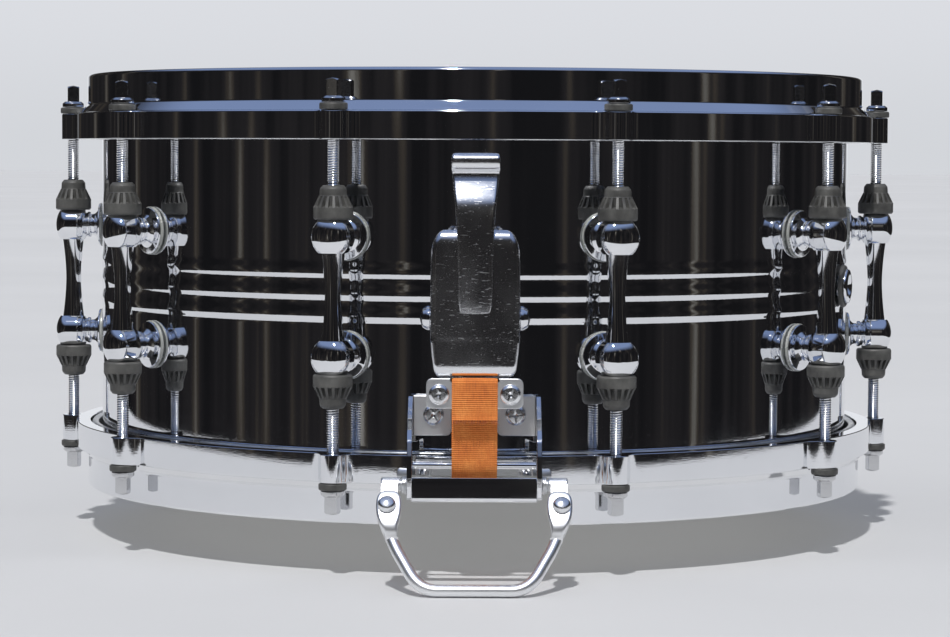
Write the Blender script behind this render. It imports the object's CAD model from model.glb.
import math
import random

import bmesh
import bpy
from mathutils import Matrix, Vector


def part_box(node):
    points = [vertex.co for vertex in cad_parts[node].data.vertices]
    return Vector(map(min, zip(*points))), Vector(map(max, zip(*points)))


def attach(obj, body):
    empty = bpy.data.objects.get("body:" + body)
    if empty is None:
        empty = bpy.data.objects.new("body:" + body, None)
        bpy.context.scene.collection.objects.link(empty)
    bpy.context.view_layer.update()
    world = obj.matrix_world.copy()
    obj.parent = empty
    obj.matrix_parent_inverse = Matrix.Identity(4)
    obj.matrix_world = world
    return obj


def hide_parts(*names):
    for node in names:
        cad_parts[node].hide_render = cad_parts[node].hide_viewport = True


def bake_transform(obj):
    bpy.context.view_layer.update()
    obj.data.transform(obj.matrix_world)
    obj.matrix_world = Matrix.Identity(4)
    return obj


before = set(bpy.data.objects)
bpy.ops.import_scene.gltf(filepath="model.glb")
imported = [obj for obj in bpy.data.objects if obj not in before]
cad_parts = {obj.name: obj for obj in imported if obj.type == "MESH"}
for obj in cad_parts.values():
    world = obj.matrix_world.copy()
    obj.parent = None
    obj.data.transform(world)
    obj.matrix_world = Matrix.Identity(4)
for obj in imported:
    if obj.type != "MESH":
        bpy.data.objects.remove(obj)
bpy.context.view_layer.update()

MM = 0.001
TAU = 2 * math.pi

# Driving places, in millimetres and read from the frame where a node gives them. The camera's is in metres.
SHELL_LOW, SHELL_HIGH = (corner.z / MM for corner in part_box("shell"))
MIDDLE = (SHELL_LOW + SHELL_HIGH) / 2
EDGE = (SHELL_HIGH - SHELL_LOW) / 2
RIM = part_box("top_hoop")[1].z / MM - MIDDLE
SHELL_RADIUS = 177.8
SHELL_WALL = 1.4
BEAD_RISE = 1.2
BEAD_PITCH = 9.3
BEAD_HEIGHT = 0.47
BEAD_HALF_WIDTH = 4.65
HOOP_HEIGHT = 30.5
BAND_OUTER = 190.0
RIM_OUTER = 184.6
ROD_CIRCLE = 193.0
BAND_EDGE = RIM - 18.2
HEAD_RISE = 0.3
GATE_HALF = 32
EAR_RADIUS = 5.4
EAR_FILLET = 6.0
BARREL_OFFSET = 25.4
BARREL_HALF_HEIGHT = 7.0
BARREL_RADIUS = 8.8
DOME_HEIGHT = 5.2
COLLAR_HEIGHT = 14.4
THREAD_PITCH = 1.06
ROD_RADIUS = 2.7
KEY_WIDTH = 5.5
BAIL_SLANT = math.radians(37.7)
BAIL_PIVOT = Vector((0, -205.5, 42.1))
RIB_PITCH = 0.85
STRAP_WIDTH = 19.0
STRAP_TOP = 85.6
FLOOR_FRONT = 592.0
FLOOR_SIDE = 680.0
CAMERA_PLACE = Vector((-0.003, -1.4204, 0.1792))
CAMERA_LENS = 111.76
SUN_ELEVATION = math.radians(57)
SUN_LEFT = math.radians(9)
LUG_AZIMUTHS = [18 + 36 * i for i in range(10)]
VENT_AZIMUTH = 72


# ---------------------------------------------------------------- mesh helpers

def spin(azimuth):
    """Turns what was built at the front, facing -Y, to an azimuth in degrees."""
    return Matrix.Rotation(math.radians(azimuth), 4, "Z")


def mesh_of(name, verts, faces):
    """Mesh from points in millimetres."""
    mesh = bpy.data.meshes.new(name)
    mesh.from_pydata([Vector(v) * MM for v in verts], [], faces)
    return mesh


def new_object(name, verts, faces, material, place=None, smooth=True):
    mesh = mesh_of(name, verts, faces)
    tidy = bmesh.new()
    tidy.from_mesh(mesh)
    bmesh.ops.recalc_face_normals(tidy, faces=tidy.faces)
    tidy.to_mesh(mesh)
    tidy.free()
    return add_object(name, mesh, material, place, smooth)


def add_object(name, mesh, material, place=None, smooth=True):
    piece = bpy.data.objects.new(name, mesh)
    bpy.context.scene.collection.objects.link(piece)
    if not mesh.materials:
        mesh.materials.append(material)
    mesh.polygons.foreach_set("use_smooth", [smooth] * len(mesh.polygons))
    if place is not None:
        piece.matrix_world = in_metres(place)
    return piece


def in_metres(place):
    moved = place.copy()
    moved.translation = place.translation * MM
    return moved


def settle(piece, body, *nodes):
    """Rides on a body and stands for CAD nodes."""
    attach(piece, body)
    if nodes:
        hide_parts(*nodes)
    return piece


def harden(piece, width=0.0, segments=3, angle=35):
    """A bevel on sharp edges and normals weighted by face area, so flats stay flat."""
    if width:
        bevel = piece.modifiers.new("edge", "BEVEL")
        bevel.width = width * MM
        bevel.segments = segments
        bevel.limit_method = "ANGLE"
        bevel.angle_limit = math.radians(angle)
        bevel.harden_normals = True
    weighted = piece.modifiers.new("normals", "WEIGHTED_NORMAL")
    weighted.keep_sharp = True
    return piece


def boolean(piece, tool, operation="DIFFERENCE"):
    """Applies a boolean and removes the tool."""
    step = piece.modifiers.new("cut", "BOOLEAN")
    step.operation = operation
    step.solver = "EXACT"
    step.object = tool
    bpy.context.view_layer.update()
    graph = bpy.context.evaluated_depsgraph_get()
    result = bpy.data.meshes.new_from_object(piece.evaluated_get(graph))
    piece.modifiers.remove(step)
    old = piece.data
    piece.data = result
    result.name = piece.name
    bpy.data.meshes.remove(old)
    bpy.data.objects.remove(tool)
    result.polygons.foreach_set("use_smooth", [True] * len(result.polygons))
    return piece


def sharpen(mesh, angle=40):
    """Marks edges sharper than the angle, so smooth shading breaks there."""
    work = bmesh.new()
    work.from_mesh(mesh)
    for edge in work.edges:
        edge.smooth = len(edge.link_faces) != 2 or edge.calc_face_angle() < math.radians(angle)
    work.to_mesh(mesh)
    work.free()


def loft(rings, closed_loop=False):
    """Joins equal rings of points by quads. An open loft gets a fan at each end."""
    count = len(rings[0])
    verts = [point for ring in rings for point in ring]
    faces = []
    spans = len(rings) if closed_loop else len(rings) - 1
    for i in range(spans):
        a, b = i * count, ((i + 1) % len(rings)) * count
        for j in range(count):
            k = (j + 1) % count
            faces.append((a + j, a + k, b + k, b + j))
    if not closed_loop:
        for first in (0, (len(rings) - 1) * count):
            middle = sum((Vector(v) for v in verts[first:first + count]), Vector()) / count
            verts.append(middle)
            hub = len(verts) - 1
            faces += [(first + (j + 1) % count, first + j, hub) for j in range(count)]
    return verts, faces


def merged(parts):
    """Several (verts, faces) in one."""
    verts, faces = [], []
    for part_verts, part_faces in parts:
        start = len(verts)
        verts += [Vector(v) for v in part_verts]
        faces += [tuple(start + i for i in face) for face in part_faces]
    return verts, faces


def moved(part, matrix):
    verts, faces = part
    return [matrix @ Vector(v) for v in verts], faces


def along_y(part):
    """What was turned about Z, with its +Z now pointing to -Y."""
    return moved(part, Matrix.Rotation(math.radians(90), 4, "X"))


def along_x(part):
    return moved(part, Matrix.Rotation(math.radians(90), 4, "Y"))


def turned(profile, segments=48):
    """Solid of revolution about Z from [radius, z] points, without its points on the axis."""
    rings = [
        [(r * math.cos(TAU * i / segments), r * math.sin(TAU * i / segments), z) for i in range(segments)]
        for r, z in profile
    ]
    return loft(rings)


def ring_of(profile, segments):
    """Ring of a closed [radius, z] section about Z."""
    rings = []
    for i in range(segments):
        a = TAU * i / segments
        rings.append([(r * math.sin(a), -r * math.cos(a), z) for r, z in profile])
    return loft(rings, closed_loop=True)


def rounded(corners, closed=True, steps=4):
    """Outline from [a, b, radius] corners, with each corner turned into an arc."""
    points = []
    count = len(corners)
    for i, (a, b, radius) in enumerate(corners):
        here = Vector((a, b))
        if radius <= 0 or (not closed and i in (0, count - 1)):
            points.append((a, b))
            continue
        back = (Vector(corners[i - 1][:2]) - here)
        ahead = (Vector(corners[(i + 1) % count][:2]) - here)
        half = back.angle(ahead) / 2
        run = min(radius / math.tan(half), 0.49 * back.length, 0.49 * ahead.length)
        radius = run * math.tan(half)
        middle = here + (back.normalized() + ahead.normalized()).normalized() * radius / math.sin(half)
        start = here + back.normalized() * run - middle
        end = here + ahead.normalized() * run - middle
        turn = start.angle_signed(end)
        for k in range(steps + 1):
            spoke = start.copy()
            spoke.rotate(Matrix.Rotation(-turn * k / steps, 2))
            points.append(tuple(middle + spoke))
    return points


def slab(outline, low, high):
    """Outline of [a, b] points extruded along the third axis, as (a, b, c) points."""
    count = len(outline)
    verts = [(a, b, low) for a, b in outline] + [(a, b, high) for a, b in outline]
    faces = [tuple(range(count)), tuple(reversed(range(count, 2 * count)))]
    faces += [(i, (i + 1) % count, count + (i + 1) % count, count + i) for i in range(count)]
    return verts, faces


def front_slab(outline, y_low, y_high):
    """Outline of [x, z] points with thickness along Y."""
    verts, faces = slab(outline, y_low, y_high)
    return [(a, c, b) for a, b, c in verts], faces


def side_slab(outline, x_low, x_high):
    """Outline of [y, z] points with thickness along X."""
    verts, faces = slab(outline, x_low, x_high)
    return [(c, a, b) for a, b, c in verts], faces


def flipped(points):
    return [(-x, *rest) for x, *rest in reversed(points)]


# ------------------------------------------------------------------- materials

class Nodes:
    """Short names for building a node tree."""

    def __init__(self, name):
        self.material = bpy.data.materials.new(name)
        self.material.use_nodes = True
        self.tree = self.material.node_tree
        self.shader = self.tree.nodes["Principled BSDF"]
        coordinates = self.add("ShaderNodeTexCoord")
        self.place = coordinates.outputs["Object"]

    def add(self, kind, **settings):
        node = self.tree.nodes.new(kind)
        for key, value in settings.items():
            if hasattr(node, key):
                setattr(node, key, value)
            else:
                node.inputs[key].default_value = value
        return node

    def link(self, output, target):
        self.tree.links.new(output, target)

    def set(self, **values):
        for key, value in values.items():
            self.shader.inputs[key.replace("_", " ")].default_value = value

    def noise(self, scale, detail=4.0, stretch=None, roughness=0.55):
        node = self.add("ShaderNodeTexNoise", Scale=scale, Detail=detail, Roughness=roughness)
        source = self.place
        if stretch:
            mapping = self.add("ShaderNodeMapping")
            mapping.inputs["Scale"].default_value = stretch
            self.link(source, mapping.inputs["Vector"])
            source = mapping.outputs["Vector"]
        self.link(source, node.inputs["Vector"])
        return node.outputs["Fac"]

    def ramp(self, source, stops):
        node = self.add("ShaderNodeValToRGB")
        elements = node.color_ramp.elements
        while len(elements) < len(stops):
            elements.new(0.5)
        for element, (position, colour) in zip(elements, stops):
            element.position = position
            element.color = (*colour, 1.0)
        self.link(source, node.inputs["Fac"])
        return node.outputs["Color"]

    def levels(self, source, low, high, to_low, to_high):
        node = self.add("ShaderNodeMapRange")
        for key, value in (("From Min", low), ("From Max", high), ("To Min", to_low), ("To Max", to_high)):
            node.inputs[key].default_value = value
        self.link(source, node.inputs["Value"])
        return node.outputs["Result"]

    def combine(self, operation, a, b):
        node = self.add("ShaderNodeMath", operation=operation)
        self.link(a, node.inputs[0])
        if isinstance(b, (int, float)):
            node.inputs[1].default_value = b
        else:
            self.link(b, node.inputs[1])
        return node.outputs[0]

    def bump(self, height, strength, distance):
        node = self.add("ShaderNodeBump", Strength=strength, Distance=distance)
        self.link(height, node.inputs["Height"])
        self.link(node.outputs["Normal"], self.shader.inputs["Normal"])

    def colour(self, output):
        self.link(output, self.shader.inputs["Base Color"])

    def roughness(self, output):
        self.link(output, self.shader.inputs["Roughness"])


def chrome(name, dark, light, polish, haze, scratches):
    """Plated metal: smudges vary its roughness, and hairline scratches and pits break its polish."""
    nodes = Nodes(name)
    nodes.set(Metallic=1.0)
    smudge = nodes.noise(18.0, 5.0)
    nodes.colour(nodes.ramp(smudge, [(0.3, dark), (0.7, light)]))
    hairs = nodes.noise(260.0, 3.0, (1.0, 1.0, 7.0))
    specks = nodes.noise(1400.0, 2.0)
    pits = nodes.levels(specks, 0.68, 0.78, 0.0, haze * 1.6)
    film = nodes.levels(smudge, 0.45, 0.75, polish, polish + haze)
    lines = nodes.levels(hairs, 0.62, 0.72, 0.0, scratches)
    nodes.roughness(nodes.combine("ADD", nodes.combine("ADD", film, lines), pits))
    nodes.bump(nodes.combine("ADD", hairs, specks), 0.002 + scratches * 0.12, 0.0004)
    return nodes.material


def satin_steel(name, dark, light, rough, grain):
    nodes = Nodes(name)
    nodes.set(Metallic=1.0)
    cloud = nodes.noise(60.0, 6.0)
    streak = nodes.noise(500.0, 2.0, grain)
    nodes.colour(nodes.ramp(cloud, [(0.3, dark), (0.72, light)]))
    nodes.roughness(nodes.levels(cloud, 0.3, 0.7, rough * 0.8, rough * 1.25))
    nodes.bump(streak, 0.12, 0.0004)
    return nodes.material


def black_rubber(name, dark, light, rough, grain_scale):
    """Moulded black: dusty, slightly mottled and finely grained."""
    nodes = Nodes(name)
    nodes.set(Specular_IOR_Level=0.45)
    dust = nodes.noise(130.0, 6.0)
    nodes.colour(nodes.ramp(dust, [(0.35, dark), (0.75, light)]))
    nodes.roughness(nodes.levels(dust, 0.3, 0.7, rough, rough + 0.2))
    nodes.bump(nodes.noise(grain_scale, 3.0), 0.25, 0.0003)
    return nodes.material


def coated_film(name):
    """White sprayed coating on a drum head, with its fine speckle and faint wear at the middle."""
    nodes = Nodes(name)
    nodes.set(Subsurface_Weight=0.1)
    nodes.shader.inputs["Subsurface Radius"].default_value = (0.002, 0.002, 0.002)
    speckle = nodes.noise(900.0, 3.0)
    cloud = nodes.noise(9.0, 5.0)
    mix = nodes.combine("ADD", nodes.combine("MULTIPLY", cloud, 0.7), nodes.combine("MULTIPLY", speckle, 0.3))
    nodes.colour(nodes.ramp(mix, [(0.3, (0.60, 0.595, 0.565)), (0.62, (0.70, 0.695, 0.665))]))
    nodes.roughness(nodes.levels(speckle, 0.3, 0.7, 0.42, 0.66))
    nodes.bump(speckle, 0.35, 0.0003)
    return nodes.material


def hazy_film(name):
    """Thin clear snare-side film: mostly transmits, with a smoky haze."""
    nodes = Nodes(name)
    nodes.set(Transmission_Weight=0.7, IOR=1.25)
    cloud = nodes.noise(14.0, 4.0)
    nodes.colour(nodes.ramp(cloud, [(0.3, (0.80, 0.81, 0.80)), (0.7, (0.90, 0.91, 0.90))]))
    nodes.roughness(nodes.levels(cloud, 0.3, 0.7, 0.22, 0.4))
    nodes.bump(cloud, 0.05, 0.001)
    return nodes.material


def ribbon(name, deep, mid, pale):
    """Grosgrain: silky warp over cross ribs, with dye that varies and a soft sheen."""
    nodes = Nodes(name)
    nodes.set(Sheen_Weight=0.35, Sheen_Roughness=0.4, Specular_IOR_Level=0.3)
    nodes.shader.inputs["Sheen Tint"].default_value = (1.0, 0.72, 0.45, 1.0)
    warp = nodes.noise(2600.0, 2.0, (1.0, 0.12, 0.12))
    cloud = nodes.noise(90.0, 5.0)
    mix = nodes.combine("ADD", nodes.combine("MULTIPLY", warp, 0.35), nodes.combine("MULTIPLY", cloud, 0.65))
    nodes.colour(nodes.ramp(mix, [(0.28, deep), (0.5, mid), (0.72, pale)]))
    nodes.roughness(nodes.levels(warp, 0.3, 0.7, 0.6, 0.85))
    nodes.bump(warp, 0.4, 0.00025)
    return nodes.material


def clear_gasket(name):
    nodes = Nodes(name)
    nodes.set(Transmission_Weight=0.55, IOR=1.45)
    cloud = nodes.noise(200.0, 3.0)
    nodes.colour(nodes.ramp(cloud, [(0.3, (0.62, 0.64, 0.62)), (0.7, (0.8, 0.82, 0.8))]))
    nodes.roughness(nodes.levels(cloud, 0.3, 0.7, 0.15, 0.35))
    nodes.bump(cloud, 0.1, 0.0004)
    return nodes.material


SHELL_CHROME = chrome("shell_chrome", (0.80, 0.81, 0.83), (0.86, 0.87, 0.89), 0.025, 0.05, 0.03)
HOOP_CHROME = chrome("hoop_chrome", (0.82, 0.83, 0.85), (0.88, 0.89, 0.91), 0.03, 0.05, 0.04)
LUG_CHROME = chrome("lug_chrome", (0.82, 0.83, 0.85), (0.88, 0.89, 0.91), 0.03, 0.05, 0.03)
WORN_CHROME = chrome("worn_chrome", (0.80, 0.81, 0.83), (0.90, 0.91, 0.93), 0.14, 0.18, 0.22)
FITTING_CHROME = chrome("fitting_chrome", (0.80, 0.81, 0.83), (0.87, 0.88, 0.90), 0.04, 0.08, 0.06)
BAIL_CHROME = chrome("bail_chrome", (0.84, 0.85, 0.86), (0.91, 0.92, 0.93), 0.34, 0.08, 0.06)
PLATE_CHROME = chrome("plate_chrome", (0.82, 0.83, 0.85), (0.90, 0.91, 0.92), 0.40, 0.10, 0.06)
SCREW_CHROME = chrome("screw_chrome", (0.82, 0.83, 0.85), (0.90, 0.91, 0.92), 0.24, 0.10, 0.06)
ROD_STEEL = chrome("rod_steel", (0.62, 0.62, 0.63), (0.76, 0.77, 0.78), 0.12, 0.16, 0.08)
HOOP_STEEL = satin_steel("flesh_hoop_aluminium", (0.62, 0.63, 0.64), (0.76, 0.77, 0.78), 0.3, (1, 1, 12))
WIRE_STEEL = satin_steel("wire_steel", (0.55, 0.55, 0.56), (0.72, 0.72, 0.73), 0.28, (1, 8, 1))
BASE_STEEL = satin_steel("base_steel", (0.58, 0.59, 0.6), (0.74, 0.75, 0.76), 0.26, (1, 1, 10))
RUBBER = black_rubber("collar_black", (0.055, 0.055, 0.054), (0.12, 0.12, 0.115), 0.38, 2200.0)
WASHER_BLACK = black_rubber("washer_black", (0.05, 0.05, 0.048), (0.13, 0.13, 0.125), 0.38, 1500.0)
FILM_WHITE = coated_film("coated_film")
FILM_CLEAR = hazy_film("clear_film")
GASKET_CLEAR = clear_gasket("clear_gasket")
RIBBON = ribbon("strap_ribbon", (0.46, 0.115, 0.026), (0.68, 0.215, 0.048), (0.86, 0.36, 0.10))
FRAY = ribbon("strap_fray", (0.26, 0.05, 0.02), (0.48, 0.11, 0.04), (0.74, 0.30, 0.12))


# ----------------------------------------------------------------- shell, heads

def shell_section():
    """Closed section of the wall: bearing edges and three rolled beads."""
    edge = [(0.7, 0), (0.2, 0.3), (0, 1)]
    outer = [(SHELL_RADIUS - back, SHELL_LOW + rise) for back, rise in edge]
    centres = [MIDDLE + BEAD_RISE + step * BEAD_PITCH for step in (-1, 0, 1)]
    low, high = centres[0] - BEAD_HALF_WIDTH - 0.5, centres[2] + BEAD_HALF_WIDTH + 0.5
    outer.append((SHELL_RADIUS, low - 20))
    rows = 84
    for i in range(rows + 1):
        z = low + (high - low) * i / rows
        near = min(abs(z - c) for c in centres) / BEAD_HALF_WIDTH
        rise = BEAD_HEIGHT * math.cos(math.pi / 2 * near) ** 2 if near < 1 else 0
        outer.append((SHELL_RADIUS + rise, z))
    outer.append((SHELL_RADIUS, high + 20))
    outer += [(SHELL_RADIUS - back, SHELL_HIGH - rise) for back, rise in reversed(edge)]
    inner = SHELL_RADIUS - SHELL_WALL
    return outer + [(inner, SHELL_HIGH), (inner, SHELL_LOW)]


def build_shell():
    piece = new_object("shell_wall", *ring_of(shell_section(), 320), SHELL_CHROME)
    hole = along_y(turned([(5.1, 170), (5.1, 190)], 32))
    hole = moved(hole, Matrix.Translation((0, 0, MIDDLE)))
    boolean(piece, new_object("hole_tool", *hole, SHELL_CHROME, spin(VENT_AZIMUTH)))
    harden(piece)
    settle(piece, "root", "shell")


def build_vent():
    z = Matrix.Translation((0, 0, MIDDLE))
    eyelet = rounded([
        (3.6, 173, 0.3), (6.6, 173, 0.5), (6.6, 174.4, 0.5), (4.7, 174.8, 0), (4.7, 180.9, 0.2),
        (8.1, 180.9, 0.4), (7.8, 182.3, 0.9), (5.2, 182.9, 1.2), (3.6, 181.2, 1.2),
    ])
    tube = along_y(ring_of(eyelet, 48))
    piece = new_object("vent_eyelet", *moved(tube, z), FITTING_CHROME, spin(VENT_AZIMUTH))
    settle(harden(piece), "root", "air_vent")
    pad = rounded([(5.1, 178.9, 0.2), (10, 178.9, 0.4), (9.7, 180.8, 0.8), (5.1, 180.8, 0.2)])
    piece = new_object("vent_washer", *moved(along_y(ring_of(pad, 48)), z), RUBBER, spin(VENT_AZIMUTH))
    settle(harden(piece), "root", "vent_gasket")


def head_section(side, film):
    """Film, collar over the bearing edge and its turn into the flesh hoop."""
    top = EDGE + HEAD_RISE
    outer = 179.2
    above = rounded([
        (0.5, top + film, 0), (SHELL_RADIUS - 1.5, top + film, 2.5), (outer, top - 1.6, 2.0),
        (outer, top - 8, 0)], closed=False, steps=5)
    below = rounded([
        (outer - film, top - 8, 0), (outer - film, top - 1.4, 1.8), (SHELL_RADIUS - 1.6, top, 2.2),
        (0.5, top, 0)], closed=False, steps=5)
    return [(r, MIDDLE + side * z) for r, z in above + below]


def build_head(side, name, node, material):
    film = 0.3
    piece = new_object(name, *ring_of(head_section(side, film), 192), material)
    middle = MIDDLE + side * (EDGE + HEAD_RISE)
    fill = turned([(0.52, middle), (0.52, middle + side * film)], 192)
    centre = new_object(name + "_centre", *fill, material)
    settle(harden(piece), "root", node)
    centre.parent = piece


def build_flesh_hoop(side, name, node):
    """Rolled aluminium channel that clamps the film."""
    low, high = RIM - 30.2, RIM - 21.9
    profile = rounded([
        (179.5, low, 1.2), (182.7, low, 1.2), (182.7, high, 0.8), (179.5, high, 0.8),
    ], steps=5)
    piece = new_object(name, *ring_of([(r, MIDDLE + side * z) for r, z in profile], 256), HOOP_STEEL)
    settle(harden(piece), "root", node)


# ------------------------------------------------------------------------ hoops

def ear_contour():
    """Half outline of an ear seen from above, from the band to the nose, as (azimuth, radius)."""
    far = BAND_OUTER + EAR_FILLET
    reach = EAR_RADIUS + EAR_FILLET
    cosine = (ROD_CIRCLE ** 2 + far ** 2 - reach ** 2) / (2 * ROD_CIRCLE * far)
    offset = math.acos(cosine)
    centre = Vector((far * math.sin(offset), far * math.cos(offset)))
    nose = Vector((0, ROD_CIRCLE))
    start = (-centre).normalized()
    end = (nose - centre).normalized()
    points = []
    steps = 9
    for i in range(steps + 1):
        direction = start.slerp(end, i / steps)
        points.append(centre + direction * EAR_FILLET)
    first = math.atan2(-end.y, -end.x)
    for i in range(1, steps + 1):
        a = first + (math.pi / 2 - first) * i / steps
        points.append(nose + EAR_RADIUS * Vector((math.cos(a), math.sin(a))))
    return [(math.atan2(p.x, p.y), p.length) for p in points]


def band_columns():
    """Every (azimuth, band radius) round the hoop, close together at the ears."""
    ear = ear_contour()
    half = ear[0][0]
    columns = []
    for azimuth in LUG_AZIMUTHS:
        centre = math.radians(azimuth)
        columns += [(centre - a, r) for a, r in ear]
        columns += [(centre + a, r) for a, r in reversed(ear[:-1])]
        gap = TAU / len(LUG_AZIMUTHS) - 2 * half
        steps = 30
        columns += [(centre + half + gap * i / steps, BAND_OUTER) for i in range(1, steps)]
    return columns


def hoop_section(side, band_radius):
    """Closed section at one azimuth: rim band, ledge, wide band and the seat of the flesh hoop."""
    ledge = RIM - 14.2
    low = RIM - HOOP_HEIGHT
    seat = RIM - 21.6
    corners = [
        (RIM_OUTER, RIM, 1.7), (RIM_OUTER, ledge, 1.4), (188.5, BAND_EDGE + 0.1, 0.8),
        (band_radius, BAND_EDGE, 0.8), (band_radius, low, 0.35), (183.4, low, 0.5), (183.4, seat, 0.3),
        (179.9, seat, 0.4), (179.9, RIM, 1.9),
    ]
    return [(r, MIDDLE + side * z) for r, z in rounded(corners, steps=4)]


def build_hoop(side, name, node):
    rings = [
        [(r * math.sin(a), -r * math.cos(a), z) for r, z in hoop_section(side, band)]
        for a, band in band_columns()
    ]
    piece = new_object(name, *loft(rings, closed_loop=True), HOOP_CHROME)
    bore = [(3.2, -20), (3.2, -0.05), (6.5, -0.05), (6.9, 4.6)]
    hole = turned([(r, MIDDLE + side * (BAND_EDGE + rise)) for r, rise in bore], 32)
    tools = []
    for azimuth in LUG_AZIMUTHS:
        tools.append(moved(moved(hole, Matrix.Translation((0, -ROD_CIRCLE, 0))), spin(azimuth)))
    if side < 0:
        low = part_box("bottom_hoop")[0].z / MM
        gate = rounded([
            (-GATE_HALF, low - 5, 0), (GATE_HALF, low - 5, 0), (GATE_HALF, low + 22.3, 4),
            (-GATE_HALF, low + 22.3, 4)], steps=6)
        tools += [front_slab(gate, -200, -170), front_slab(gate, 170, 200)]
    boolean(piece, new_object("tool", *merged(tools), HOOP_CHROME))
    sharpen(piece.data, 45)
    settle(harden(piece), "root", node)


# ------------------------------------------------------------------------- lugs

def barrel(z):
    """Radial barrel with a domed face and flats above and below."""
    back = rounded([
        (0.4, 185.0, 0), (5.0, 185.0, 0.4), (5.6, 186.6, 0.6), (8.0, 188.0, 2.2),
        (BARREL_RADIUS, 190.5, 3), (BARREL_RADIUS, 195.6, 0),
    ], closed=False, steps=5)
    angles = [math.radians(a) for a in range(0, 90, 6)]
    dome = [(BARREL_RADIUS * math.cos(a), 196.0 + DOME_HEIGHT * math.sin(a)) for a in angles]
    profile = back + dome + [(0.4, 201.2)]
    return moved(along_y(turned(profile, 64)), Matrix.Translation((0, 0, z)))


def foot(z):
    """Neck with a bead by the barrel and a trumpet foot that ends in a thin flange."""
    profile = rounded([
        (0.4, 179.4, 0), (10.3, 179.4, 0.3), (10.3, 180.3, 0.4), (7.2, 180.9, 1.5), (5.2, 182.6, 2.0),
        (5.0, 184.2, 0.4), (6.0, 184.5, 0.5), (6.2, 185.4, 0.6), (6.0, 186.3, 0.5), (0.4, 186.6, 0),
    ], closed=False, steps=5)
    return moved(along_y(turned(profile, 64)), Matrix.Translation((0, 0, z)))


def pillar():
    """Waisted post between the barrels."""
    reach = BARREL_OFFSET - BARREL_HALF_HEIGHT + 0.5
    profile = []
    rows = 20
    for i in range(rows + 1):
        z = -reach + 2 * reach * i / rows
        waist = 3.55 + 1.55 * (abs(z) / reach) ** 1.7
        profile.append((waist, z))
    return moved(turned(profile, 40), Matrix.Translation((0, -ROD_CIRCLE, 0)))


def lug_mesh():
    parts = [new_object("lug_casting", *pillar(), LUG_CHROME)]
    piece = parts[0]
    for side in (-1, 1):
        z = side * BARREL_OFFSET
        head = new_object("tool_barrel", *barrel(z), LUG_CHROME)
        flats = merged([side_slab([(-210, z - BARREL_HALF_HEIGHT), (-170, z - BARREL_HALF_HEIGHT),
                                   (-170, z + BARREL_HALF_HEIGHT), (-210, z + BARREL_HALF_HEIGHT)], -20, 20)])
        boolean(head, new_object("tool_flats", *flats, LUG_CHROME), "INTERSECT")
        boolean(piece, head, "UNION")
        boolean(piece, new_object("tool_foot", *foot(z), LUG_CHROME), "UNION")
    mesh = piece.data
    sharpen(mesh, 32)
    bpy.data.objects.remove(piece)
    return mesh


def collar_mesh():
    """Black collar, standing on its wide end: ring, cone with slots cut upright, and round neck."""
    slots = 16
    per_slot = 10
    around = slots * per_slot
    slot_low, slot_high, slot_floor = 5.0, 9.8, 6.1
    profile = rounded([
        (3.2, 0, 0.3), (7.9, 0, 0.5), (8.4, 0.8, 0.6), (8.4, slot_low, 0.3), (slot_floor, slot_high, 0.3),
        (5.8, slot_high + 0.3, 0.2), (5.6, 13.0, 1.5), (4.4, COLLAR_HEIGHT, 0.8), (3.2, COLLAR_HEIGHT, 0.4),
        (3.0, COLLAR_HEIGHT - 1.5, 0),
    ], closed=False, steps=4)
    rows = []
    for (r, z), (r_next, z_next) in zip(profile, profile[1:] + profile[-1:]):
        steps = 6 if abs(z_next - z) > 3.5 else 1
        rows += [(r + (r_next - r) * k / steps, z + (z_next - z) * k / steps) for k in range(steps)]
    rings = []
    for r, z in rows:
        ring = []
        for i in range(around):
            a = TAU * i / around
            from_slot = abs((i % per_slot) / per_slot - 0.5) * 2
            open_here = min(1.0, max(0.0, (0.55 - from_slot) / 0.15))
            inside = slot_low + 0.15 < z < slot_high and r > slot_floor
            depth = (r - slot_floor + 0.2) * open_here if inside else 0
            ring.append(((r - depth) * math.cos(a), (r - depth) * math.sin(a), z))
        rings.append(ring)
    mesh = mesh_of("lug_collar", *loft(rings))
    sharpen(mesh, 40)
    mesh.materials.append(RUBBER)
    return mesh


def build_lugs():
    casting, collar = lug_mesh(), collar_mesh()
    pad = ring_of(rounded([(5.5, 178.1, 0.2), (10.7, 178.1, 0.3), (10.7, 179.3, 0.3), (5.5, 179.3, 0.2)]), 48)
    pads = merged([moved(along_y(pad), Matrix.Translation((0, 0, side * BARREL_OFFSET))) for side in (-1, 1)])
    for index, azimuth in enumerate(LUG_AZIMUTHS, 1):
        place = spin(azimuth) @ Matrix.Translation((0, 0, MIDDLE))
        name = f"lug_{index:02d}"
        piece = add_object(name + "_casting", casting, LUG_CHROME, place)
        settle(harden(piece), "root", name)
        gaskets = new_object(name + "_gaskets", *pads, GASKET_CLEAR, place)
        settle(harden(gaskets), "root")
        for row, side in (("upper", 1), ("lower", -1)):
            base = Matrix.Translation((0, -ROD_CIRCLE, side * (BARREL_OFFSET + BARREL_HALF_HEIGHT + 0.1)))
            upright = Matrix.Identity(4) if side > 0 else Matrix.Rotation(math.pi, 4, "X")
            part = add_object(f"{name}_{row}_collar", collar, RUBBER, place @ base @ upright)
            settle(harden(part), "root")


# ---------------------------------------------------------------- tension rods

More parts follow.
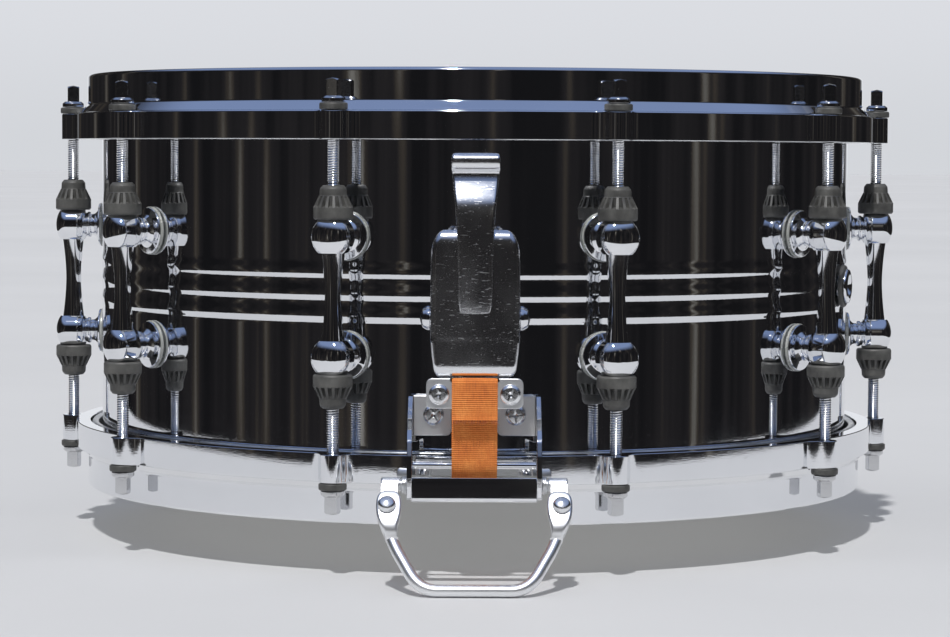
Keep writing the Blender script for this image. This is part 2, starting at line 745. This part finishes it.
def threaded_rod(low, high):
    """Rod with a true helical thread between two heights and plain ends."""
    around = 14
    per_turn = 5
    rings = []
    rows = int((high - low) / THREAD_PITCH * per_turn)
    for i in range(rows + 1):
        z = low + (high - low) * i / rows
        ring = []
        for j in range(around):
            a = TAU * j / around
            phase = (z / THREAD_PITCH - j / around) % 1.0
            crest = 1 - abs(2 * phase - 1)
            r = ROD_RADIUS - 0.42 * (1 - crest) ** 1.4
            ring.append((r * math.cos(a), r * math.sin(a), z))
        rings.append(ring)
    return loft(rings)


def rod_mesh():
    """Upper rod seen from its lug end, with heights from the middle of the drum."""
    seat = BAND_EDGE
    flange = seat + 3.4
    rod = threaded_rod(BARREL_OFFSET + 2, seat + 1)
    collar = turned(rounded([
        (2.6, flange - 0.4, 0), (5.1, flange - 0.2, 0.3), (5.1, flange + 1.5, 0.5),
        (3.9, flange + 2.4, 0.4), (2.0, flange + 2.5, 0),
    ], closed=False), 40)
    rod_part = new_object("rod", *merged([rod, collar]), ROD_STEEL)
    top = RIM - 4.7
    half = KEY_WIDTH / 2
    corners = [(-half, -half, 0.5), (half, -half, 0.5), (half, half, 0.5), (-half, half, 0.5)]
    square = rounded(corners, steps=3)
    key = new_object("rod_key", *slab(square, flange + 2, top), ROD_STEEL)
    cap = rounded([
        (5.5, flange + 1.9, 0), (5.5, top - 4.2, 0), (3.5, top - 0.7, 2.5), (0.4, top - 0.01, 0),
    ], closed=False, steps=5)
    dome = new_object("rod_dome", *turned(cap, 48), ROD_STEEL)
    boolean(key, dome, "INTERSECT")
    boolean(rod_part, key, "UNION")
    mesh = rod_part.data
    sharpen(mesh, 38)
    bpy.data.objects.remove(rod_part)
    return mesh


def washer_mesh():
    low, high = BAND_EDGE + 0.1, BAND_EDGE + 3.0
    profile = rounded([(2.9, low, 0.2), (6.0, low, 0.6), (6.0, high, 0.8), (2.9, high, 0.3)])
    mesh = mesh_of("rod_washer", *ring_of(profile, 48))
    mesh.materials.append(WASHER_BLACK)
    return mesh


def build_rods():
    rod, washer = rod_mesh(), washer_mesh()
    for index, azimuth in enumerate(LUG_AZIMUTHS, 1):
        spot = spin(azimuth) @ Matrix.Translation((0, -ROD_CIRCLE, MIDDLE))
        for row, side in (("upper", 1), ("lower", -1)):
            node = f"{row}_tension_rod_{index:02d}"
            upright = Matrix.Identity(4) if side > 0 else Matrix.Rotation(math.pi, 4, "X")
            key_turn = Matrix.Rotation((index - 1) * 0.7, 4, "Z")
            place = spot @ upright @ key_turn
            piece = add_object(node + "_screw", rod, ROD_STEEL, place)
            settle(harden(piece), node, node)
            ring = add_object(node + "_washer", washer, WASHER_BLACK, place)
            settle(harden(ring), node)


# --------------------------------------------------------------------- strainer

def lever_section(z, spec):
    """Channel section of the lever's shield at one height, as (x, y) points."""
    half, front, depth, wall = spec
    corner = min(2.6, half * 0.3)
    outer = rounded([
        (-half, front + depth, 0), (-half, front, corner), (half, front, corner), (half, front + depth, 0)],
        closed=False, steps=6)
    crowned = [(x, y - 0.9 * max(0.0, 1 - (x / half) ** 2)) for x, y in outer]
    inner = [(x * (half - wall) / half, max(y, front) + wall if abs(x) < half * 0.8 else y + wall)
             for x, y in crowned]
    inner = [(x, min(y, front + depth)) for x, y in inner]
    return [(x, y, z) for x, y in crowned] + [(x, y, z) for x, y in reversed(inner)]


def lever_shield():
    """Shield from its rolled lower lip to the round shoulders."""
    rows = []
    bottom, top = 87.2, 147.8
    front = -212.0
    for i in range(61):
        t = i / 60
        z = bottom + (top - bottom) * t
        half = 16.9 + 1.6 * min(1.0, (z - bottom) / 15.8)
        depth = 3.4
        if z > 102.6:
            half = 18.5
            depth = 15.0
        if z > 134:
            depth = 15.0 - 11.0 * ((z - 134) / 13.6)
        if z > 128:
            half -= 1.0 * ((z - 128) / 19.8) ** 2
        back = 0.0
        if z < 92.2:
            back = 3.0 * (1 - math.sqrt(max(0.0, 1 - ((92.2 - z) / 5.0) ** 2)))
            half -= 1.5 * ((92.2 - z) / 5.0) ** 2
        if z > 139:
            u = (z - 139) / 8.9
            back = 3.4 * (1 - math.sqrt(max(0.0, 1 - u ** 2)))
            half -= 5.0 * (1 - math.sqrt(max(0.0, 1 - (u * 0.98) ** 2)))
        rows.append(lever_section(z, (half, front + back, max(1.5, depth - back), 1.7)))
    return loft(rows)


def lever_arm():
    """Thumb arm: melts out of the shield, leans back near its end and has a rolled tip."""
    stations = [
        # height, half width, front, thickness
        (110.0, 6.2, -211.8, 1.4), (116.0, 7.0, -212.45, 2.2), (122.0, 7.2, -212.85, 2.7),
        (128.0, 7.2, -213.2, 3.1), (134.0, 7.2, -213.55, 3.5), (142.0, 7.4, -214.0, 4.0),
        (150.0, 7.9, -214.0, 4.1), (156.0, 8.35, -213.5, 4.0), (159.4, 8.6, -212.7, 3.8),
        (162.0, 8.9, -211.6, 3.5), (166.0, 9.3, -209.9, 3.3), (170.0, 9.7, -208.4, 3.1),
        (171.8, 9.9, -208.4, 3.2), (172.7, 10.0, -210.9, 4.6), (173.2, 10.05, -213.2, 5.8),
        (176.4, 10.1, -214.0, 6.4), (178.1, 9.9, -213.4, 5.4), (179.1, 9.5, -212.0, 3.4),
        (179.4, 8.9, -211.0, 2.0),
    ]
    rings = []
    for z, half, front, thick in stations:
        back = front + thick
        section = rounded([
            (-half, back, 0.6), (-half, front, 1.2), (half, front, 1.2), (half, back, 0.6)], steps=5)
        ring = []
        for x, y in section:
            crown = 0.35 * max(0.0, 1 - (x / half) ** 2) if y < front + thick * 0.5 else 0
            ring.append((x, y - crown, z))
        rings.append(ring)
    return loft(rings)


def build_lever():
    shield = new_object("lever_shield", *lever_shield(), WORN_CHROME)
    sharpen(shield.data, 50)
    settle(harden(shield), "throw_off_lever", "throw_off_lever")
    arm = new_object("lever_arm", *lever_arm(), WORN_CHROME)
    soft = arm.modifiers.new("smooth", "SUBSURF")
    soft.levels = soft.render_levels = 2
    settle(arm, "throw_off_lever")
    pin = Matrix.Translation((0, -204, 111.3))
    hub = ring_of(rounded([(3.2, -10.6, 0.3), (5.4, -10.6, 0.5), (5.4, 10.6, 0.5), (3.2, 10.6, 0.3)]), 40)
    web = rounded([(-10.4, 108.6, 1), (10.4, 108.6, 1), (10.4, 114, 1), (-10.4, 114, 1)])
    web = front_slab(web, -210.0, -206.8)
    piece = new_object("lever_hub", *merged([moved(along_x(hub), pin), web]), FITTING_CHROME)
    sharpen(piece.data)
    settle(harden(piece), "throw_off_lever")
    wall = 18.4 + 0.3
    half = rounded([
        (2.8, 0, 0), (2.8, wall, 0), (5.1, wall, 0.3), (5.0, wall + 1.2, 0.8), (3.9, wall + 3.2, 1.8),
        (0.4, wall + 4.2, 0)], closed=False, steps=6)
    profile = [(r, -x) for r, x in reversed(half)] + half[1:]
    piece = new_object("lever_pivot", *moved(along_x(turned(profile, 40)), pin), FITTING_CHROME)
    settle(harden(piece), "root", "lever_pin")


def build_strainer_base():
    plate = front_slab(rounded([(-14, 92, 3), (14, 92, 3), (14, 146, 3), (-14, 146, 3)]), -183.3, -179.3)
    outline = rounded([
        (-182.8, 103, 0), (-200, 106.2, 3), (-207.9, 107.4, 2.5), (-209.5, 111.3, 3), (-207.9, 115.2, 2.5),
        (-200, 116.4, 3), (-182.8, 119.6, 0)])
    parts = [plate, side_slab(outline, 11.5, 13.9), side_slab(outline, -13.9, -11.5)]
    dome = rounded([(0.4, 183.2, 0), (3.8, 183.2, 0), (3.6, 184.6, 0.8), (0.4, 185.4, 0)], closed=False)
    for z in (97, 141):
        parts.append(moved(along_y(turned(dome, 32)), Matrix.Translation((0, 0, z))))
    piece = new_object("strainer_plate", *merged(parts), FITTING_CHROME)
    sharpen(piece.data)
    settle(harden(piece, 0.35), "root", "strainer_base")


def clamp_block():
    """Block behind the strap's clamp plate."""
    outline = rounded([(-18, 74, 1.5), (18, 74, 1.5), (18, 84.2, 1.5), (-18, 84.2, 1.5)])
    return front_slab(outline, -206.8, -200)


def build_carriage():
    stem = side_slab(rounded([
        (-200.4, 78, 0), (-184.2, 78, 1), (-184.2, 122, 1), (-197, 122, 0.6), (-197, 119, 0.6),
        (-185.7, 119, 1), (-185.7, 84.2, 1), (-200.4, 84.2, 0)]), -6, 6)
    piece = new_object("carriage_block", *merged([clamp_block(), stem]), BASE_STEEL)
    sharpen(piece.data)
    settle(harden(piece, 0.4), "strap_carriage", "strap_carriage")


def build_butt_block():
    shelf = side_slab(rounded([
        (-200.4, 74, 0), (-183.6, 74, 1), (-183.6, 79.4, 0.5), (-178.4, 79.4, 0.5), (-178.4, 100, 1),
        (-183.8, 100, 1.5), (-184.2, 84.2, 2), (-200.4, 84.2, 0)]), -16, 16)
    piece = new_object("butt_body", *merged([clamp_block(), shelf]), BASE_STEEL, spin(180))
    sharpen(piece.data)
    settle(harden(piece, 0.4), "root", "butt_block")


def cross_screw(radius, height, recess=2.5):
    """Pan head with a cross recess, its seat at z = 0 and its face up."""
    profile = rounded([
        (0.4, -1, 0), (radius, -1, 0), (radius, height * 0.5, 0.7), (radius * 0.72, height * 0.95, 1.2),
        (0.4, height, 0)], closed=False, steps=5)
    head = new_object("screw", *turned(profile, 48), SCREW_CHROME)
    arms = []
    for turn in (0, 90):
        cross = [(-recess, -0.45), (recess, -0.45), (recess, 0.45), (-recess, 0.45)]
        taper = slab(cross, height - 1.3, height + 1)
        arms.append(moved(taper, Matrix.Rotation(math.radians(turn), 4, "Z")))
    middle = turned([(0.5, height - 1.6), (1.1, height - 1.2), (1.3, height + 1)], 16)
    for arm in arms + [middle]:
        boolean(head, new_object("tool", *arm, SCREW_CHROME))
    mesh = head.data
    sharpen(mesh, 35)
    bpy.data.objects.remove(head)
    return mesh


def facing_front(x, y, z, turn=0.0):
    """Places what was built facing +Z so that it faces -Y."""
    return (Matrix.Translation((x, y, z)) @ Matrix.Rotation(math.radians(90), 4, "X")
            @ Matrix.Rotation(math.radians(turn), 4, "Z"))


def build_clamp(name, node, body, azimuth, screw):
    """Plate that grips the strap, with a dip in its top edge where the strap passes over."""
    outline = rounded([
        (-20, 74.3, 2.5), (20, 74.3, 2.5), (20, 86.8, 2.5), (9.9, 86.8, 0.3), (9.9, STRAP_TOP, 0.3),
        (-9.9, STRAP_TOP, 0.3), (-9.9, 86.8, 0.3), (-20, 86.8, 2.5)], steps=5)
    plate = new_object(name + "_plate", *front_slab(outline, -211.6, -209.8), PLATE_CHROME, spin(azimuth))
    settle(harden(plate, 0.35), body, node)
    for side, word, turn in ((-1, "left", 20), (1, "right", 62)):
        place = spin(azimuth) @ facing_front(side * 14.7, -211.6, 80.2, turn)
        settle(harden(add_object(f"{name}_screw_{word}", screw, SCREW_CHROME, place)), body)


# -------------------------------------------------------------------- brackets

def bracket_parts():
    cheek = rounded([
        (-178.4, 56.8, 0), (-178.4, 77.2, 0), (-184, 77.2, 3), (-192, 73.5, 20), (-199, 69, 20),
        (-205, 64.5, 12), (-208.6, 61, 5), (-211, 54, 12), (-212.4, 46, 6), (-212.4, 41, 6),
        (-210.9, 36.2, 2), (-196, 36.2, 4), (-192.6, 40, 3), (-192.6, 56.8, 1.5)], steps=5)
    tab = rounded([(9.8, 60.2, 2), (25.8, 60.2, 0), (25.8, 77.2, 0), (9.8, 77.2, 2)], steps=4)
    return cheek, tab


def lip_section():
    """Front lip: its face leans back a little at the top and turns under tightly at the bottom."""
    front = [
        (-211.5, 45.5), (-212.0, 43.5), (-212.35, 41.3), (-212.55, 39.2), (-212.65, 37.4), (-212.6, 36.5)]
    under = [(-212.3, 35.9), (-211.8, 35.6), (-211.3, 35.8)]
    back = [(-211.0, 36.6), (-210.9, 39.0), (-210.6, 42.0), (-210.1, 45.0), (-210.6, 45.8), (-211.2, 45.8)]
    return front + under + back


def build_bracket(name, node, azimuth, screw):
    cheek, tab = bracket_parts()
    parts = [side_slab(cheek, 25.8, 27.9), side_slab(cheek, -27.9, -25.8)]
    parts.append(side_slab(lip_section(), -25.9, 25.9))
    tabs = [front_slab(tab, -180.8, -178.4), front_slab(flipped(tab), -180.8, -178.4)]
    plates = new_object(name + "_tabs", *merged(tabs), PLATE_CHROME, spin(azimuth))
    settle(harden(plates, 0.4), "root")
    piece = new_object(name + "_body", *merged(parts), FITTING_CHROME, spin(azimuth))
    sharpen(piece.data)
    settle(harden(piece, 0.4), "root", node)
    rail = moved(along_x(turned([(1.6, -25.5), (1.6, 25.5)], 24)), Matrix.Translation((0, -203.4, 50)))
    bar = new_object(name + "_guide_bar", *rail, FITTING_CHROME, spin(azimuth))
    settle(harden(bar), "root")
    for side, word, turn in ((-1, "left", 40), (1, "right", 8)):
        place = spin(azimuth) @ facing_front(side * 17.3, -180.8, 69.0, turn)
        settle(harden(add_object(f"{name}_screw_{word}", screw, SCREW_CHROME, place)), "root")


# ----------------------------------------------------------------------- bails

def bail_line(drop):
    """Half the centre line from an eye to the middle of the foot, hanging down: (x, z) points."""
    points = []
    top, bow, knee = Vector((35.1, -20)), Vector((34.2, -27)), Vector((29.2, -36.2))
    bend, turn, foot = Vector((25.9, -42.6)), Vector((21.8, -drop)), Vector((15, -drop))
    for i in range(12):
        t = i / 12
        points.append(top * (1 - t) ** 2 + bow * 2 * t * (1 - t) + knee * t ** 2)
    points += [knee.lerp(bend, t / 3) for t in range(3)]
    for i in range(13):
        t = i / 12
        points.append(bend * (1 - t) ** 2 + turn * 2 * t * (1 - t) + foot * t ** 2)
    points += [Vector((15 * (1 - t / 5), -drop)) for t in range(1, 6)]
    return points


def swept(points, radius, sides=20):
    """Round rod along (x, z) points in the plane y = 0."""
    rings = []
    for i, point in enumerate(points):
        ahead = points[min(i + 1, len(points) - 1)] - points[max(i - 1, 0)]
        normal = Vector((-ahead.y, ahead.x)).normalized()
        ring = []
        for j in range(sides):
            a = TAU * (j + 0.5) / sides
            x, z = point + normal * radius * math.cos(a)
            ring.append((x, radius * math.sin(a), z))
        rings.append(ring)
    return loft(rings)


def bail_eye(side):
    """Flat paddle that carries the screw and narrows into the rod."""
    stations = [
        # height, half width, front, back
        (-6.15, 1.9, -5.7, -4.2), (-6.5, 3.1, -6.1, -3.9), (-7.6, 4.3, -6.35, -3.7),
        (-9.4, 5.05, -6.4, -3.6), (-11.5, 5.3, -6.4, -3.6), (-14.5, 5.3, -6.4, -3.5),
        (-17.4, 5.05, -6.35, -3.2), (-20.2, 4.35, -6.1, -2.2), (-22.6, 3.5, -5.6, -0.6),
        (-24.4, 2.85, -4.8, 1.0), (-25.3, 2.65, -4.1, 2.0), (-26.2, 2.7, -3.1, 2.7),
        (-27.2, 2.65, -2.7, 2.7),
    ]
    rings = []
    for z, half, front, back in stations:
        shift = 35.0 if z > -22 else 35.0 + (z + 22) * 0.32
        outer, inner = min(1.2, half * 0.5), min(1.1, half * 0.5)
        section = rounded([
            (-half, front, outer), (half, front, outer), (half, back, inner), (-half, back, inner)], steps=4)
        rings.append([(side * (shift + x), y, z) for x, y in section])
    return loft(rings)


def build_bail(name, azimuth):
    body = name + "_bail"
    flat = 2.75 * math.cos(math.pi / 8)
    drop = (BAIL_PIVOT.z - flat) / math.cos(BAIL_SLANT)
    hang = spin(azimuth) @ Matrix.Translation(BAIL_PIVOT) @ Matrix.Rotation(-BAIL_SLANT, 4, "X")
    half = bail_line(drop)
    line = half + [Vector((-p.x, p.y)) for p in reversed(half[:-1])]
    rod = new_object(name + "_bail_rod", *swept(line, flat), BAIL_CHROME, hang)
    settle(harden(rod), body, body)
    cap = [(0.4, 0, 0), (3.8, 0, 0.2), (3.8, 0.9, 0.8), (3.1, 2.5, 2.4), (0.4, 3.3, 0)]
    dome = turned(rounded(cap, closed=False, steps=6), 40)
    for side, word in ((-1, "left"), (1, "right")):
        eye = new_object(f"{name}_eye_{word}", *bail_eye(side), BAIL_CHROME, hang)
        soft = eye.modifiers.new("smooth", "SUBSURF")
        soft.levels = soft.render_levels = 1
        settle(eye, body)
        screw = new_object(f"{name}_eye_screw_{word}", *dome, SCREW_CHROME,
                           hang @ facing_front(side * 35.8, -6.4, -13.6))
        settle(harden(screw), body)
        build_pivot(f"{name}_pivot_{word}", body, hang, side)


def build_pivot(node, body, hang, side):
    """Pin through the cheek, two washers, a cone, the chamfered nut and the block behind the eye."""
    pin = turned(rounded([
        (0.4, 23.8, 0), (3.1, 23.8, 0.4), (3.1, 25.2, 0.3), (1.9, 25.3, 0), (1.9, 28.1, 0),
        (3.9, 28.1, 0.3), (3.9, 28.8, 0.3), (3.2, 28.9, 0), (3.2, 29.1, 0), (3.6, 29.1, 0.2),
        (3.6, 29.7, 0.3), (2.3, 30.3, 0.2), (2.6, 30.4, 0), (3.1, 31.0, 0.3), (3.1, 38.0, 0.3),
        (2.7, 38.6, 0.2), (0.4, 38.6, 0)], closed=False, steps=3), 40)
    block = rounded([(-3.5, -16.4, 1), (2.4, -16.4, 1), (2.4, -0.5, 1), (-3.5, -0.5, 1)])
    block = side_slab(block, 31.6, 38.4)
    verts, faces = merged([along_x(pin), block])
    piece = new_object(node + "_block", [(side * v[0], v[1], v[2]) for v in verts], faces, BAIL_CHROME, hang)
    sharpen(piece.data)
    settle(harden(piece, 0.3), body, node)


# ---------------------------------------------------------------------- straps

STRAP_THICK = 0.85


def strap_route():
    """Centre line in (y, z): lifted tail, over the clamp plate, behind the lip and to the wires."""
    front, rear = -212.45, -209.2
    top = STRAP_TOP - 0.9
    radius = (rear - front) / 2
    tail = [(front - 0.5, 69.6), (front - 0.1, 71.2), (front, 73.0), (front, top)]
    bends = [a * math.pi / 10 for a in range(1, 10)]
    loop = [(front + radius - radius * math.cos(a), top + (radius + 0.2) * math.sin(a)) for a in bends]
    down = rounded([
        (rear, top, 0), (rear + 0.2, 74, 8), (-207.2, 60, 14), (-206.0, 49, 10), (-200, 41.5, 12),
        (-184, 33.9, 14), (-170.5, 33.5, 0)], closed=False, steps=8)
    return tail + loop + down


def resampled(points, step):
    """Points a fixed step apart along a polyline."""
    line = [Vector(p) for p in points]
    lengths = [(b - a).length for a, b in zip(line, line[1:])]
    total = sum(lengths)
    count = int(total / step)
    out, segment, walked = [], 0, 0.0
    for i in range(count + 1):
        at = total * i / count
        while segment < len(lengths) - 1 and walked + lengths[segment] < at:
            walked += lengths[segment]
            segment += 1
        t = (at - walked) / max(lengths[segment], 1e-9)
        out.append(line[segment].lerp(line[segment + 1], min(1.0, t)))
    return out, total


def build_strap(name, azimuth):
    """Ribbon with true cross ribs: each rib swells both faces, and the selvedges are thin."""
    swell = [1.0, 1.0, 0.8, 0.05, 0.05, 0.8]
    per_rib = len(swell)
    points, total = resampled(strap_route(), RIB_PITCH / per_rib)
    across = [-1.0, -0.975, -0.93, -0.5, 0.0, 0.5, 0.93, 0.975, 1.0]
    rng = random.Random(7 + azimuth)
    rings = []
    sway = 0.0
    for i, point in enumerate(points):
        ahead = (points[min(i + 1, len(points) - 1)] - points[max(i - 1, 0)]).normalized()
        normal = Vector((-ahead.y, ahead.x))
        rib = swell[i % per_rib]
        sway += rng.uniform(-0.01, 0.01)
        half = STRAP_WIDTH / 2 - 0.12 * (1 - rib) + sway * 0.3
        ring = []
        for face in (1, -1):
            for u in (across if face > 0 else reversed(across)):
                edge = 1 - 0.75 * max(0.0, (abs(u) - 0.9) / 0.1)
                thick = (STRAP_THICK * 0.18 + 0.34 * rib) * edge
                y, z = point + normal * face * thick
                ring.append((half * u, y, z))
        rings.append(ring)
    piece = new_object(name, *loft(rings), RIBBON, spin(azimuth))
    return piece, total


def build_fray(name, azimuth):
    """Loose threads at the cut end of the tail."""
    rng = random.Random(11 + azimuth)
    parts = []
    for i in range(70):
        x = rng.uniform(-9.2, 9.2)
        length = rng.uniform(0.5, 2.4)
        lean = rng.uniform(-0.5, 0.5)
        y = -212.9 + rng.uniform(-0.35, 0.35)
        rings = []
        for k in range(5):
            t = k / 4
            cx = x + lean * t * t * length
            cz = 69.9 - length * t
            cy = y - 0.35 * t * t * length
            r = 0.14 * (1 - 0.4 * t)
            turns = (0, TAU / 3, 2 * TAU / 3)
            rings.append([(cx + r * math.cos(a), cy + r * math.sin(a), cz) for a in turns])
        parts.append(loft(rings))
    return new_object(name, *merged(parts), FRAY, spin(azimuth))


def build_straps():
    for node, azimuth, body in (("front_strap", 0, "strap_carriage"), ("rear_strap", 180, "root")):
        piece, total = build_strap(node + "_ribbon", azimuth)
        fray = build_fray(node + "_threads", azimuth)
        settle(fray, body)
        if azimuth == 0:
            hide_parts(node)
            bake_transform(piece)
        else:
            settle(piece, body, node)


# ----------------------------------------------------------------- snare wires

def coil(length, radius, wire, pitch):
    """One coiled snare along Y."""
    per_turn, sides = 7, 3
    turns = int(length / pitch)
    count = turns * per_turn
    rings = []
    for i in range(count + 1):
        a = TAU * i / per_turn
        y = -length / 2 + length * i / count
        out = Vector((math.cos(a), 0, math.sin(a)))
        ring = []
        for j in range(sides):
            b = TAU * j / sides
            ring.append(out * (radius + wire * math.cos(b)) + Vector((0, y + wire * math.sin(b), 0)))
        rings.append(ring)
    return loft(rings)


def build_snares():
    verts, faces = coil(324, 0.62, 0.17, 1.15)
    wires = merged([moved((verts, faces), Matrix.Translation(((i - 9.5) * 2.1, 0, 34.2))) for i in range(20)])
    piece = new_object("snare_coils", *wires, WIRE_STEEL)
    settle(piece, "snare_wires", "snare_wires")
    for azimuth, word in ((0, "front"), (180, "rear")):
        outline = rounded([(-21.6, -171, 2), (21.6, -171, 2), (21.6, -158, 1), (-21.6, -158, 1)], steps=5)
        verts, faces = slab(outline, 33.0, 33.9)
        plate = new_object(f"snare_plate_{word}", verts, faces, WIRE_STEEL, spin(azimuth))
        for x in (-7.5, 0, 7.5):
            left, right = x - 2.6, x + 2.6
            slot = rounded([(left, -168.6, 0.7), (right, -168.6, 0.7), (right, -167, 0.7), (left, -167, 0.7)])
            boolean(plate, new_object("tool", *slab(slot, 30, 36), WIRE_STEEL, spin(azimuth)))
        sharpen(plate.data)
        settle(harden(plate, 0.2), "snare_wires")


# ------------------------------------------------------------- camera and light

def in_scene(name, data):
    """Camera or lamp, linked to the scene."""
    thing = bpy.data.objects.new(name, data)
    bpy.context.scene.collection.objects.link(thing)
    return thing


def build_camera():
    """Camera in front, just below the top hoop's height, looking about three degrees down."""
    data = bpy.data.cameras.new("camera")
    data.lens = CAMERA_LENS
    data.sensor_width = 36
    camera = in_scene("camera", data)
    pitch, yaw, roll = math.radians(3.205), math.radians(0.139), math.radians(0.293)
    ahead = Vector((math.sin(yaw) * math.cos(pitch), math.cos(yaw) * math.cos(pitch), -math.sin(pitch)))
    right = Vector((math.cos(yaw), -math.sin(yaw), 0))
    up = right.cross(ahead)
    rolled_right = right * math.cos(roll) + up * math.sin(roll)
    rolled_up = up * math.cos(roll) - right * math.sin(roll)
    turn = Matrix((rolled_right, rolled_up, -ahead)).transposed().to_4x4()
    camera.matrix_world = Matrix.Translation(CAMERA_PLACE) @ turn
    data.clip_end = 200
    bpy.context.scene.camera = camera


def build_floor():
    """Pale table top with a round front edge, which runs far behind the drum."""
    nodes = Nodes("floor_pale")
    nodes.set(Specular_IOR_Level=0.2, Roughness=0.7)
    cloud = nodes.noise(1.6, 4.0)
    nodes.colour(nodes.ramp(cloud, [(0.3, (0.55, 0.56, 0.585)), (0.7, (0.59, 0.60, 0.625))]))
    nodes.bump(nodes.noise(5.0, 3.0), 0.06, 0.02)
    arc = [math.radians(a) for a in range(-90, 91, 3)]
    outline = [(FLOOR_SIDE * math.sin(a), -FLOOR_FRONT * math.cos(a)) for a in arc]
    outline += [(FLOOR_SIDE, 300), (4990, 26000), (-4990, 26000), (-FLOOR_SIDE, 300)]
    floor = new_object("floor", *slab(outline, -12, -0.2), nodes.material, smooth=False)


def world_direction(tree):
    coordinates = tree.nodes.new("ShaderNodeTexCoord")
    parts = tree.nodes.new("ShaderNodeSeparateXYZ")
    tree.links.new(coordinates.outputs["Generated"], parts.inputs[0])
    return coordinates.outputs["Generated"], parts


def world_step(tree, source, low, high):
    node = tree.nodes.new("ShaderNodeMapRange")
    node.interpolation_type = "SMOOTHSTEP"
    node.inputs["From Min"].default_value = low
    node.inputs["From Max"].default_value = high
    tree.links.new(source, node.inputs["Value"])
    return node.outputs["Result"]


def world_mix(tree, factor, a, b):
    node = tree.nodes.new("ShaderNodeMix")
    node.data_type = "RGBA"
    tree.links.new(factor, node.inputs["Factor"])
    for value, target in ((a, node.inputs[6]), (b, node.inputs[7])):
        if isinstance(value, tuple):
            target.default_value = (*value, 1)
        else:
            tree.links.new(value, target)
    return node.outputs[2]


def build_world():
    """What the chrome mirrors: a dim room in front, a pale backdrop behind and open blue above."""
    world = bpy.data.worlds.new("studio")
    bpy.context.scene.world = world
    world.use_nodes = True
    tree = world.node_tree
    vector, parts = world_direction(tree)
    flat = tree.nodes.new("ShaderNodeVectorMath")
    flat.operation = "MULTIPLY"
    flat.inputs[1].default_value = (1, 1, 0.12)
    tree.links.new(vector, flat.inputs[0])
    streaks = tree.nodes.new("ShaderNodeTexNoise")
    streaks.inputs["Scale"].default_value = 8.0
    streaks.inputs["Detail"].default_value = 8.0
    tree.links.new(flat.outputs[0], streaks.inputs["Vector"])
    dim = tree.nodes.new("ShaderNodeValToRGB")
    stops = [
        (0.40, (0.008, 0.008, 0.009)), (0.56, (0.017, 0.016, 0.017)), (0.62, (0.042, 0.036, 0.030)),
        (0.67, (0.12, 0.115, 0.105)), (0.76, (0.36, 0.35, 0.33))]
    elements = dim.color_ramp.elements
    while len(elements) < len(stops):
        elements.new(0.5)
    for element, (position, colour) in zip(elements, stops):
        element.position = position
        element.color = (*colour, 1)
    tree.links.new(streaks.outputs["Fac"], dim.inputs["Fac"])
    backdrop = world_step(tree, parts.outputs["Y"], 0.93, 0.98)
    colour = world_mix(tree, backdrop, dim.outputs["Color"], (0.80, 0.82, 0.86))
    sky = world_step(tree, parts.outputs["Z"], 0.42, 0.70)
    colour = world_mix(tree, sky, colour, (0.20, 0.27, 0.46))
    path = tree.nodes.new("ShaderNodeLightPath")
    overhead = world_step(tree, parts.outputs["Z"], 0.10, 0.45)
    ambient = world_mix(tree, overhead, (0.26, 0.265, 0.27), (0.53, 0.54, 0.56))
    soft = world_mix(tree, path.outputs["Is Glossy Ray"], ambient, colour)
    haze = world_step(tree, parts.outputs["Z"], 0.0, 0.055)
    wall = world_mix(tree, haze, (0.65, 0.668, 0.703), (0.71, 0.725, 0.765))
    shown = world_mix(tree, path.outputs["Is Camera Ray"], soft, wall)
    background = tree.nodes["Background"]
    tree.links.new(shown, background.inputs["Color"])


def build_bounce():
    """Light that the pale table throws back and forth under the drum."""
    data = bpy.data.lights.new("bounce", "AREA")
    data.shape = "DISK"
    data.size = 0.354
    data.energy = 0.12
    data.color = (1.0, 0.98, 0.93)
    lamp = in_scene("bounce", data)
    lamp.location = (0, 0, 0.0295)
    lamp.visible_camera = False
    lamp.visible_glossy = False
    lamp.visible_transmission = False


def build_sun():
    data = bpy.data.lights.new("sun", "SUN")
    data.energy = 2.6
    data.angle = math.radians(2.0)
    data.color = (1.0, 0.98, 0.95)
    sun = in_scene("sun", data)
    level = math.cos(SUN_ELEVATION)
    from_sun = Vector((math.sin(SUN_LEFT) * level, math.cos(SUN_LEFT) * level, -math.sin(SUN_ELEVATION)))
    sun.rotation_euler = from_sun.to_track_quat("-Z", "Y").to_euler()


# --------------------------------------------------------------------- assembly

build_camera()
build_floor()
build_world()
build_sun()
build_bounce()
build_shell()
build_vent()
build_head(1, "batter_film", "batter_head", FILM_WHITE)
build_head(-1, "snare_film", "snare_head", FILM_CLEAR)
build_flesh_hoop(1, "batter_flesh_ring", "batter_flesh_hoop")
build_flesh_hoop(-1, "snare_flesh_ring", "snare_flesh_hoop")
build_hoop(1, "top_hoop_casting", "top_hoop")
build_hoop(-1, "bottom_hoop_casting", "bottom_hoop")
build_lugs()
build_rods()
build_lever()
build_strainer_base()
build_carriage()
build_butt_block()
CLAMP_SCREW = cross_screw(4.3, 2.2)
TAB_SCREW = cross_screw(4.4, 1.9, 3.0)
build_clamp("front_clamp", "strap_clamp_plate", "strap_carriage", 0, CLAMP_SCREW)
build_clamp("butt_clamp_plate", "butt_clamp_plate", "root", 180, CLAMP_SCREW)
build_bracket("front_bracket", "front_bracket", 0, TAB_SCREW)
build_bracket("rear_bracket", "rear_bracket", 180, TAB_SCREW)
build_bail("front", 0)
build_bail("rear", 180)
build_snares()
build_straps()

bpy.context.scene.view_settings.view_transform = "Standard"
